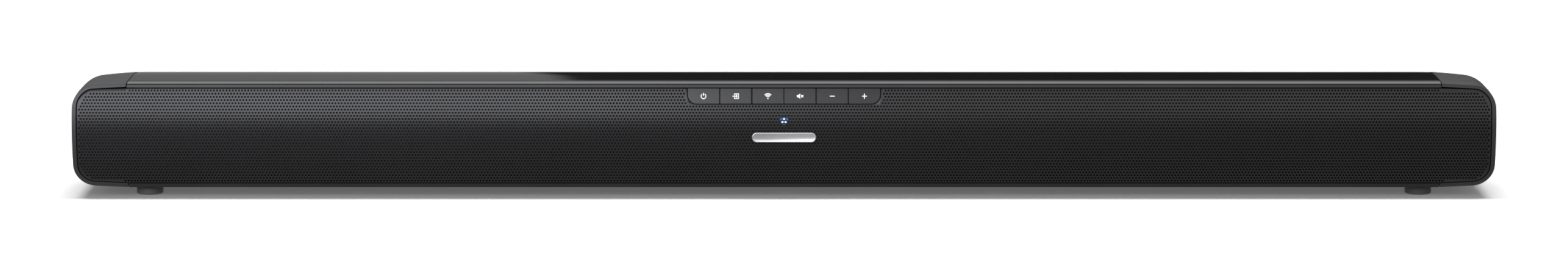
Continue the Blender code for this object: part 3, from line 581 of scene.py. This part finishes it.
def row_shift(row):
    """Every other row is shifted by half a pitch."""
    return (row + 1) % 2


def row_cells(row):
    """Places of the hole centres in a row, counted in half pitches from the middle."""
    z = TOP_ROW_Z - row * HOLE_PITCH_Z
    most = int(HALF_LENGTH / HOLE_PITCH_X) + 1
    shift = row_shift(row)
    kept = []
    for i in range(-most, most + 1):
        k = 2 * i + shift
        x = k * HOLE_PITCH_X / 2
        corners = [(x + dx * HOLE_PITCH_X / 2, z + dz * HOLE_PITCH_Z / 2)
                   for dx in (-1, 0, 1) for dz in (-1, 1)]
        if all(inside_grille(cx, cz, ROW_MARGIN) for cx, cz in corners):
            kept.append(k)
    return kept


def grille_sheet():
    """The flat pattern: points (x, z), triangles, and which points lie on the outer edge.

    Each hole stands in a cell, laid like a brick. Eight triangles and six edge triangles fill the
    cell round its hole, and what is left between the cells and the sheet's edge is triangulated."""
    grid, points, triangles = {}, [], []

    def grid_point(k, edge_row):
        key = (k, edge_row)
        if key not in grid:
            grid[key] = len(points)
            points.append((k * HOLE_PITCH_X / 2, TOP_ROW_Z + (0.5 - edge_row) * HOLE_PITCH_Z))
        return grid[key]

    cells = set()
    angles = [math.pi / HOLE_SIDES + 2 * math.pi * i / HOLE_SIDES for i in range(HOLE_SIDES)]
    circle = [(HOLE_R * math.cos(a), HOLE_R * math.sin(a)) for a in angles]
    corner_of_side = (3, 4, 5, 0, 0, 1, 2, 2)
    hole_of_edge = (5, 6, 0, 1, 2, 3)
    border_edges = {}
    for row in range(HOLE_ROWS):
        z = TOP_ROW_Z - row * HOLE_PITCH_Z
        for k in row_cells(row):
            cells.add((k, row))
            edge = [grid_point(k + dk, row + dr) for dk, dr in
                    ((-1, 1), (0, 1), (1, 1), (1, 0), (0, 0), (-1, 0))]
            first = len(points)
            x = k * HOLE_PITCH_X / 2
            points.extend((x + dx, z + dz) for dx, dz in circle)
            for i in range(HOLE_SIDES):
                triangles.append((first + (i + 1) % HOLE_SIDES, first + i, edge[corner_of_side[i]]))
            for i in range(6):
                a, b = edge[i], edge[(i + 1) % 6]
                triangles.append((a, b, first + hole_of_edge[i]))
                twin = (b, a)
                if twin in border_edges:
                    del border_edges[twin]
                else:
                    border_edges[(a, b)] = True

    outer, inner = grille_outline(0.0), grille_outline(RIM)
    brick_points = sorted({index for pair in border_edges for index in pair})
    local = {index: i for i, index in enumerate(brick_points)}
    flat = [Vector(points[index]) for index in brick_points]
    edges = [(local[a], local[b]) for a, b in border_edges]
    loop_start = len(flat)
    for loop in (outer, inner):
        start = len(flat)
        flat += [Vector(point) for point in loop]
        edges += [(start + i, start + (i + 1) % len(loop)) for i in range(len(loop))]
    made, _, faces, origins, _, _ = delaunay_2d_cdt(flat, edges, [], 0, 1e-7)
    known = {}
    on_edge = set()
    for new, sources in enumerate(origins):
        source = min(sources) if sources else None
        if source is not None and source < loop_start:
            known[new] = brick_points[source]
        else:
            known[new] = len(points)
            points.append(tuple(made[new]))
        if any(loop_start <= item < loop_start + len(outer) for item in sources):
            on_edge.add(known[new])
    for face in faces:
        x = sum(made[i].x for i in face) / 3
        z = sum(made[i].y for i in face) / 3
        row = int((TOP_ROW_Z - z) / HOLE_PITCH_Z + 0.5)
        shift = row_shift(row)
        k = 2 * round((x / HOLE_PITCH_X * 2 - shift) / 2) + shift
        if TOP_ROW_Z - z > -HOLE_PITCH_Z / 2 and (k, row) in cells:
            continue
        if inside_grille(x, z, -1e-6):
            triangles.append(tuple(known[i] for i in face))
    return np.array(points), np.array(triangles), on_edge


def thick_mesh(name, flat, triangles, front_depth, back_depth):
    """A closed sheet from a flat pattern, laid on the bulged front.

    front_depth and back_depth hold each point's depth inside the front surface."""
    used = np.unique(triangles)
    renumber = np.full(len(flat), -1)
    renumber[used] = np.arange(len(used))
    triangles = renumber[triangles]
    flat = flat[used]
    corner = flat[triangles]
    side = np.cross(corner[:, 1] - corner[:, 0], corner[:, 2] - corner[:, 0])
    triangles[side < 0] = triangles[side < 0][:, ::-1]
    x, z = flat[:, 0], flat[:, 1]
    front = np.stack([x, arc_y(z, front_depth[used]), z], 1)
    back = np.stack([x, arc_y(z, back_depth[used]), z], 1)
    count = len(flat)
    edges = np.concatenate([triangles[:, [0, 1]], triangles[:, [1, 2]], triangles[:, [2, 0]]])
    code = edges[:, 0] * count + edges[:, 1]
    twin = edges[:, 1] * count + edges[:, 0]
    rim = edges[~np.isin(code, twin)]
    walls = np.concatenate([
        np.stack([rim[:, 1], rim[:, 0], rim[:, 0] + count], 1),
        np.stack([rim[:, 1], rim[:, 0] + count, rim[:, 1] + count], 1)])
    faces = np.concatenate([triangles, triangles[:, ::-1] + count, walls])
    mesh = bpy.data.meshes.new(name)
    mesh.vertices.add(2 * count)
    mesh.vertices.foreach_set("co", np.concatenate([front, back]).astype(np.float32).ravel())
    mesh.loops.add(3 * len(faces))
    mesh.loops.foreach_set("vertex_index", faces.astype(np.int32).ravel())
    mesh.polygons.add(len(faces))
    mesh.polygons.foreach_set("loop_start", np.arange(0, 3 * len(faces), 3, dtype=np.int32))
    mesh.update(calc_edges=True)
    return mesh


def add_flat_layout(mesh):
    """Texture coordinates straight from the front, for the export."""
    layout = mesh.uv_layers.new(name="OFBake")
    co = np.zeros(3 * len(mesh.vertices), np.float32)
    mesh.vertices.foreach_get("co", co)
    corner = np.zeros(len(mesh.loops), np.int32)
    mesh.loops.foreach_get("vertex_index", corner)
    place = co.reshape(-1, 3)[corner][:, [0, 2]]
    low, high = place.min(0), place.max(0)
    layout.uv.foreach_set("vector", ((place - low) / (high - low)).astype(np.float32).ravel())


def make_grille():
    """The perforated sheet, in lengths that lie edge to edge."""
    flat, triangles, on_edge = grille_sheet()
    depth = np.full(len(flat), GRILLE_SETBACK)
    depth[list(on_edge)] += RIM
    back = np.full(len(flat), GRILLE_SETBACK + GRILLE_THICKNESS)
    middle_x = flat[triangles, 0].mean(1)
    limits = np.linspace(-HALF_LENGTH, HALF_LENGTH, GRILLE_PIECES + 1)
    for i in range(GRILLE_PIECES):
        part = triangles[(middle_x >= limits[i]) & (middle_x < limits[i + 1])]
        name = f"grille_section_{i + 1}"
        mesh = thick_mesh(name, flat, part, depth, back)
        add_flat_layout(mesh)
        finish_piece(name, mesh, "grille_steel", replaces=["front_grille"])


# ---- keys and symbols ----------------------------------------------------------------------
KEY_REAR_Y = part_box("button_frame")[0].y - 1.0 * MM
KEY_CENTRE_Z = (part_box("power_switch")[0].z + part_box("power_switch")[1].z) / 2
KEY_SIDE_R = 0.45 * MM
KEY_EDGE_R = 0.28 * MM
STEM_R = 1.5 * MM
STEM_ROOT = 0.3 * MM        # the stem starts this far inside the cap
STEM_CHAMFER = 0.2 * MM
AXIS_R = 0.01 * MM          # a turned outline keeps this far off its axis
SYMBOL_PROUD = 0.02 * MM
SYMBOL_THICKNESS = 0.07 * MM
SYMBOL_R = 1.6 * MM
STROKE = 0.36 * MM


def make_key(name):
    """A key cap with soft edges on the bulged front, and the stem behind it. Returns its middle x."""
    low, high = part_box(f"{name}_button")
    rings = []
    turns = [KEY_SIDE_R * (1 - math.cos(math.radians(a))) for a in (0, 40, 90)]
    across = [low.x + step for step in turns] + spaced(low.x + 1 * MM, high.x - 1 * MM, 18)
    across += [high.x - step for step in reversed(turns)]
    for x in sorted(across):
        bottom = min(key_bottom(x), KEY_TOP_Z - 1 * MM)
        heights = spaced(bottom, KEY_TOP_Z, 8)
        outline = [(float(arc_y(z, GRILLE_SETBACK)), z) for z in heights]
        outline += [(KEY_REAR_Y, KEY_TOP_Z), (KEY_REAR_Y, bottom)]
        rings.append([(x, y, z) for y, z in outline])
    body = f"{name}_key"
    cap = finish_piece(f"{name}_key_cap", lofted(f"{name}_key_cap", rings), "key_gloss", body,
                       [f"{name}_button"], 30)
    bevel(cap, KEY_EDGE_R, 3, 45)
    centre_x = (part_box(f"{name}_switch")[0].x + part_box(f"{name}_switch")[1].x) / 2
    stem_end = high.y - KEY_REAR_Y
    stem = [(AXIS_R, -STEM_ROOT), (STEM_R, -STEM_ROOT), (STEM_R, stem_end - STEM_CHAMFER),
            (STEM_R - STEM_CHAMFER, stem_end), (AXIS_R, stem_end)]
    mesh = turned(f"{name}_key_stem", stem, (centre_x, KEY_REAR_Y, KEY_CENTRE_Z), 24, "Y")
    finish_piece(f"{name}_key_stem", mesh, "key_gloss", body, [f"{name}_button"])
    return centre_x


def closely_spaced(path, longest=0.25):
    """The path with extra points, so that it follows the curved key."""
    points = [path[0]]
    for start, end in zip(path, path[1:]):
        steps = max(1, math.ceil(math.dist(start, end) / longest))
        for part in spaced(0, 1, steps)[1:]:
            points.append(tuple(a + (b - a) * part for a, b in zip(start, end)))
    return points


def ribbon(path, width):
    """A flat line of this width through (x, z) points, as points and triangles."""
    path = [Vector(point) for point in closely_spaced(path)]
    last = len(path) - 1
    points, triangles = [], []
    for i, here in enumerate(path):
        into = (here - path[i - 1] if i else path[1] - here).normalized()
        out = (path[i + 1] - here).normalized() if i < last else into
        normal = Vector((-(into + out).y, (into + out).x)).normalized()
        reach = width / 2 / max(0.4, normal.dot(Vector((-into.y, into.x))))
        points += [tuple(here + normal * reach), tuple(here - normal * reach)]
    for i in range(last):
        a, b = 2 * i, 2 * (i + 1)
        triangles += [(a, a + 1, b + 1), (a, b + 1, b)]
    return points, triangles


def disc(centre, radius, sides=24):
    """A flat disc, as points and triangles."""
    points = [centre] + arc(centre, radius, 0, 360, sides)[:-1]
    return points, [(0, i + 1, (i + 1) % sides + 1) for i in range(sides)]


def symbol_shapes(name):
    """Flat shapes, in symbol radii about the key's middle."""
    line = STROKE / SYMBOL_R
    if name == "power":
        return [ribbon(arc((0, 0), 0.85, 125, 415, 40), line), ribbon([(0, 0.15), (0, 1.05)], line)]
    if name == "source":
        box = [(-0.45, 0.35), (-0.45, 0.75), (1.0, 0.75), (1.0, -0.75), (-0.45, -0.75), (-0.45, -0.35)]
        head = [(0.1, 0.42), (0.52, 0.0), (0.1, -0.42)]
        return [ribbon(box, line), ribbon([(-1.15, 0), (0.44, 0)], line), ribbon(head, line)]
    if name == "wireless":
        foot = (0, -0.75)
        waves = [ribbon(arc(foot, radius, 45, 135), line) for radius in (0.68, 1.15, 1.62)]
        return [disc(foot, 0.2)] + waves
    if name == "mute":
        outline = [(-1.1, -0.34), (-0.6, -0.34), (0.02, -0.88), (0.02, 0.88), (-0.6, 0.34), (-1.1, 0.34)]
        speaker = (outline, [(0, 1, 4), (0, 4, 5), (1, 2, 3), (1, 3, 4)])
        cross = [ribbon([(0.4, -0.36 * way), (1.1, 0.36 * way)], line) for way in (1, -1)]
        return [speaker] + cross
    bar = ribbon([(-0.85, 0), (0.85, 0)], line)
    if name == "volume_down":
        return [bar]
    return [bar, ribbon([(0, -0.85), (0, 0.85)], line)]


def plate(name, shapes, depth, thickness):
    """Flat shapes as one thin mesh, this deep inside the bulged front."""
    points, triangles = [], []
    for shape_points, shape_triangles in shapes:
        start = len(points)
        points += shape_points
        triangles += [tuple(start + i for i in triangle) for triangle in shape_triangles]
    front = np.full(len(points), depth)
    return thick_mesh(name, np.array(points, float), np.array(triangles), front, front + thickness)


def make_symbol(name, centre_x):
    """The white symbol printed on a key, a hair proud of its face."""
    shapes = [([(centre_x + x * SYMBOL_R, KEY_CENTRE_Z + z * SYMBOL_R) for x, z in points], triangles)
              for points, triangles in symbol_shapes(name)]
    mesh = plate(f"{name}_symbol", shapes, GRILLE_SETBACK - SYMBOL_PROUD, SYMBOL_THICKNESS)
    finish_piece(f"{name}_symbol", mesh, "key_gloss", f"{name}_key", [f"{name}_button"],
                 material=SYMBOL_WHITE)


# ---- badge, light, feet, screws, ports -----------------------------------------------------
def pill_rings(box, steps):
    """Rounded-end rings about the box's middle, from (growth, y) steps."""
    low, high = box
    centre_z = (low.z + high.z) / 2
    radius = (high.z - low.z) / 2
    straight = (high.x - low.x) / 2 - radius
    rings = []
    for grow, y in steps:
        right = arc((straight, centre_z), radius + grow, -90, 90, 20)
        left = arc((-straight, centre_z), radius + grow, 90, 270, 20)
        rings.append([(x, y, z) for x, z in right + left])
    return rings


def make_badge():
    """A plain silver pill with a turned edge, in a thin black surround."""
    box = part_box("badge_plate")
    front, rear = box[0].y, box[1].y
    steps = ((0.0, rear), (0.0, front + 0.2 * MM), (-0.08 * MM, front + 0.07 * MM),
             (-0.25 * MM, front), (-0.5 * MM, front), (-0.6 * MM, front + 0.06 * MM))
    finish_piece("badge_pill", lofted("badge_pill", pill_rings(box, steps)), "badge_metal",
                 replaces=["badge_plate"])
    steps = ((0.35 * MM, rear), (0.35 * MM, front + 0.35 * MM), (0.25 * MM, front + 0.25 * MM),
             (-0.1 * MM, front + 0.25 * MM))
    finish_piece("badge_bezel", lofted("badge_bezel", pill_rings(box, steps)), "black_plastic",
                 replaces=["badge_plate"])


SPOT_R = 0.7 * MM
SPOT_THICKNESS = 0.15 * MM
HALO_R = 2.3 * MM
HALO_THICKNESS = 0.2 * MM
HALO_BEHIND = 0.2 * MM      # the halo lies this far behind the front of the spots
SPOT_BEHIND = 0.05 * MM     # and the spots lie this far behind the sheet


def make_status_light():
    """The blue light as it shows: a glow behind the grille, brightest in three neighbouring holes."""
    low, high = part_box("light_guide")
    row = round((TOP_ROW_Z - (low.z + high.z) / 2) / HOLE_PITCH_Z)
    row -= 1 - row % 2
    upper_z = TOP_ROW_Z - row * HOLE_PITCH_Z
    lower_z = upper_z - HOLE_PITCH_Z
    spots = ((0.0, upper_z), (-HOLE_PITCH_X / 2, lower_z), (HOLE_PITCH_X / 2, lower_z))
    depth = GRILLE_SETBACK + GRILLE_THICKNESS + SPOT_BEHIND
    mesh = plate("status_glow", [disc(spot, SPOT_R) for spot in spots], depth, SPOT_THICKNESS)
    finish_piece("status_glow", mesh, "clear_plastic", replaces=["light_guide"])
    middle = (0.0, upper_z - 2 * HOLE_PITCH_Z / 3)
    mesh = plate("status_halo", [disc(middle, HALO_R, 32)], depth + HALO_BEHIND, HALO_THICKNESS)
    finish_piece("status_halo", mesh, "clear_plastic", replaces=["light_guide"], material=HALO_BLUE)


FOOT_EDGE_R = 0.8 * MM
FOOT_RIM = 2.0 * MM
FOOT_HOLLOW = 0.3 * MM


def make_feet():
    """Rubber feet with a round lower edge and a slightly hollow sole."""
    for row in ("front", "rear"):
        for side in ("left", "right"):
            node = f"{row}_{side}_foot"
            low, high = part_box(node)
            radius = (high.x - low.x) / 2
            place = ((low.x + high.x) / 2, (low.y + high.y) / 2, low.z)
            top = high.z - low.z
            outline = [(AXIS_R, top), (radius - 0.4 * MM, top), (radius, top - 0.4 * MM)]
            outline += arc((radius - FOOT_EDGE_R, FOOT_EDGE_R), FOOT_EDGE_R, 0, -90, 6)
            outline += [(radius - FOOT_RIM, 0), (radius - FOOT_RIM - 0.4 * MM, FOOT_HOLLOW),
                        (AXIS_R, FOOT_HOLLOW)]
            finish_piece(f"{node}_pad", turned(f"{node}_pad", outline, place), "foot_rubber",
                         replaces=[node])


SCREW_ROWS_Y = (-22 * MM, 30 * MM)
SCREW_REACH = 240 * MM
SCREWS_IN_ROW = 5


def make_screws():
    """Pan-head screws with a round socket, in the underside."""
    head = [(AXIS_R, -0.3 * MM), (1.0 * MM, -0.3 * MM), (1.1 * MM, -0.9 * MM), (1.8 * MM, -0.9 * MM),
            (2.3 * MM, -0.7 * MM), (2.6 * MM, -0.3 * MM), (2.7 * MM, 0.1 * MM), (AXIS_R, 0.1 * MM)]
    number = 0
    for y in SCREW_ROWS_Y:
        for x in spaced(-SCREW_REACH, SCREW_REACH, SCREWS_IN_ROW - 1):
            number += 1
            name = f"underside_screw_{number}"
            finish_piece(name, turned(name, head, (x, y, FOOT_SPACE), 32), "plated_steel")


PORT_WALL = 2 * MM
PORT_FLARE = 1.2 * MM
PORT_FLARE_DEPTH = 3 * MM


def make_ports():
    """Port tubes whose mouths flare at both ends, in a curve at the back."""
    for side in ("left", "right"):
        node = f"{side}_port_tube"
        low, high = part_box(node)
        outer = (high.x - low.x) / 2
        inner = outer - PORT_WALL
        length = high.y - low.y
        place = ((low.x + high.x) / 2, low.y, (low.z + high.z) / 2)
        outline = [(outer, 0), (outer, length - 0.2 * MM), (outer - 0.2 * MM, length)]
        for angle in spaced(math.pi / 2, 0, 8):
            outline.append((inner + PORT_FLARE * (1 - math.cos(angle)),
                            length - PORT_FLARE_DEPTH * (1 - math.sin(angle))))
        outline += [(inner, PORT_FLARE_DEPTH), (inner + PORT_FLARE, 0)]
        mesh = turned(f"{side}_port_flare", outline, place, 64, "Y")
        finish_piece(f"{side}_port_flare", mesh, "black_plastic", replaces=[node])


make_top()
make_cap("left_end_shell", "left_end_cap", -1)
make_cap("right_end_shell", "right_end_cap", 1)
make_grille()
for key_name in KEY_NAMES:
    make_symbol(key_name, make_key(key_name))
make_badge()
make_status_light()
make_feet()
make_screws()
make_ports()


# ---- floor, light, camera ------------------------------------------------------------------
FLOOR_REACH = 6.0
FLOOR_SEEN = 0.20
FLOOR_MIRRORED = 0.0
FLOOR_LIFT_SEEN = 0.12
FLOOR_LIFT_MIRRORED = 0.70


def make_floor():
    """Plain pale paper. It is paler to the camera than in reflections and bounced light."""
    mesh = bpy.data.meshes.new("studio_floor")
    corners = [(FLOOR_REACH * x, FLOOR_REACH * y, 0) for x, y in ((-1, -1), (1, -1), (1, 1), (-1, 1))]
    mesh.from_pydata(corners, [], [(0, 1, 2, 3)])
    floor = bpy.data.objects.new("studio_floor", mesh)
    bpy.context.scene.collection.objects.link(floor)
    paper, tree, shader = new_material("studio_floor", 0.9, specular=0.0)
    path = tree.nodes.new("ShaderNodeLightPath")
    tone = map_range(tree, path.outputs["Is Camera Ray"], FLOOR_MIRRORED, FLOOR_SEEN)
    tree.links.new(tone, shader.inputs["Base Color"])
    shader.inputs["Emission Color"].default_value = (1, 1, 1, 1)
    lift = map_range(tree, path.outputs["Is Camera Ray"], FLOOR_LIFT_MIRRORED, FLOOR_LIFT_SEEN)
    tree.links.new(lift, shader.inputs["Emission Strength"])
    mesh.materials.append(paper)
    return floor


def keep_light_to(light, receivers, only):
    """Let a light shine only on these objects, or on everything but them."""
    group = bpy.data.collections.new(f"{light.name}_receivers")
    for receiver in receivers:
        group.objects.link(receiver)
    light.light_linking.receiver_collection = group
    for item in group.collection_objects:
        item.light_linking.link_state = "INCLUDE" if only else "EXCLUDE"


def area_light(name, centre, size, target, radiance, colour=(1, 1, 1)):
    """A rectangle that shines with this radiance, turned to the target."""
    data = bpy.data.lights.new(name, "AREA")
    data.shape = "RECTANGLE"
    data.size, data.size_y = size
    data.energy = radiance * math.pi * size[0] * size[1]
    data.color = colour
    light = bpy.data.objects.new(name, data)
    light.location = centre
    light.rotation_euler = (Vector(target) - Vector(centre)).to_track_quat("-Z", "Y").to_euler()
    light.visible_camera = False
    bpy.context.scene.collection.objects.link(light)
    return light


# The sky by direction: X to the right, Y to the back and Z up, each from -1 to 1.
SKY_BY_HEIGHT = ((0.0, 0.02), (0.16, 0.02), (0.20, 0.16), (0.26, 0.62), (0.31, 1.10), (0.60, 1.15),
                 (1.0, 1.7))
BACK_GLOW = 0.30                    # low down, behind the left half of the bar
BACK_GLOW_EDGE = (-0.0520, -0.0465)     # X over Y, from full glow to none
BACK_GLOW_SLANT = -0.048            # the edge moves by this times Z over Y
BACK_GLOW_RISE = (0.0, 0.05)        # Y, from no glow to full
FRONT_GLOW = 2.8                    # a broad band over the camera
FRONT_GLOW_RISE = (0.06, 0.22)      # Z, from no glow to full
FRONT_GLOW_FALL = (0.62, 0.85)      # Z, from full glow to none
FRONT_GLOW_EDGE = (-0.45, -0.10)    # Y, from full glow to none


def make_world():
    """Soft light from all round, and plain white where the camera looks past the floor."""
    world = bpy.data.worlds.new("studio")
    bpy.context.scene.world = world
    world.use_nodes = True
    tree = world.node_tree
    tree.nodes.clear()
    place = tree.nodes.new("ShaderNodeTexCoord")
    axes = tree.nodes.new("ShaderNodeSeparateXYZ")
    tree.links.new(place.outputs["Generated"], axes.inputs["Vector"])
    x, y, z = axes.outputs["X"], axes.outputs["Y"], axes.outputs["Z"]

    sky = tree.nodes.new("ShaderNodeValToRGB")
    ramp = sky.color_ramp
    while len(ramp.elements) < len(SKY_BY_HEIGHT):
        ramp.elements.new(0.5)
    for element, (position, value) in zip(ramp.elements, SKY_BY_HEIGHT):
        element.position = position
        element.color = (value, value, value, 1)
    tree.links.new(z, sky.inputs["Fac"])

    slant = map_range(tree, combine(tree, "DIVIDE", z, y), 0.0, BACK_GLOW_SLANT)
    slope = combine(tree, "ADD", combine(tree, "DIVIDE", x, y), slant)
    leftness = map_range(tree, slope, BACK_GLOW, 0.0, *BACK_GLOW_EDGE)
    behind = map_range(tree, y, 0.0, 1.0, *BACK_GLOW_RISE)
    back_glow = combine(tree, "MULTIPLY", leftness, behind)

    lower = map_range(tree, z, 0.0, FRONT_GLOW, *FRONT_GLOW_RISE)
    upper = map_range(tree, z, 1.0, 0.0, *FRONT_GLOW_FALL)
    ahead = map_range(tree, y, 1.0, 0.0, *FRONT_GLOW_EDGE)
    front_glow = combine(tree, "MULTIPLY", combine(tree, "MULTIPLY", lower, upper), ahead)

    brightest = combine(tree, "MAXIMUM", sky.outputs["Color"], back_glow)
    light = tree.nodes.new("ShaderNodeBackground")
    tree.links.new(combine(tree, "MAXIMUM", brightest, front_glow), light.inputs["Strength"])
    seen = tree.nodes.new("ShaderNodeBackground")
    seen.inputs["Color"].default_value = (1, 1, 1, 1)
    path = tree.nodes.new("ShaderNodeLightPath")
    choice = tree.nodes.new("ShaderNodeMixShader")
    output = tree.nodes.new("ShaderNodeOutputWorld")
    tree.links.new(path.outputs["Is Camera Ray"], choice.inputs["Fac"])
    tree.links.new(light.outputs["Background"], choice.inputs[1])
    tree.links.new(seen.outputs["Background"], choice.inputs[2])
    tree.links.new(choice.outputs["Shader"], output.inputs["Surface"])


CAMERA_PLACE = (0, -2.963, 0.478)
CAMERA_AIM = (0, -0.0453, 0.037)
CAMERA_LENS = 120.7
SOFTBOX_PLACE = (-0.825, -0.72, 0.58)
SOFTBOX_AIM = (-0.825, 0.0, 0.58)
SOFTBOX_SIZE = (1.55, 0.82)
SOFTBOX_RADIANCE = 5.6
PAPER_LIGHT_PLACE = (0.0, 0.14, 2.50)
PAPER_LIGHT_SIZE = (3.0, 0.56)
PAPER_LIGHT_RADIANCE = 88


def make_camera():
    """A long lens from the front, a little above the bar."""
    data = bpy.data.cameras.new("camera")
    data.sensor_width = 36
    data.lens = CAMERA_LENS
    data.clip_end = 50
    camera = bpy.data.objects.new("camera", data)
    camera.location = CAMERA_PLACE
    aim = Vector(CAMERA_AIM) - camera.location
    camera.rotation_euler = aim.to_track_quat("-Z", "Y").to_euler()
    bpy.context.scene.collection.objects.link(camera)
    bpy.context.scene.camera = camera


floor = make_floor()
make_world()
softbox = area_light("front_left_softbox", SOFTBOX_PLACE, SOFTBOX_SIZE, SOFTBOX_AIM,
                     SOFTBOX_RADIANCE, (0.96, 0.98, 1.06))
keep_light_to(softbox, [floor, bpy.data.objects["top_panel_gloss"]], only=False)
paper_light = area_light("paper_light", PAPER_LIGHT_PLACE, PAPER_LIGHT_SIZE, (0.0, 0.0, 0.0),
                         PAPER_LIGHT_RADIANCE)
keep_light_to(paper_light, [floor], only=True)
make_camera()
bpy.context.scene.view_settings.view_transform = "Standard"
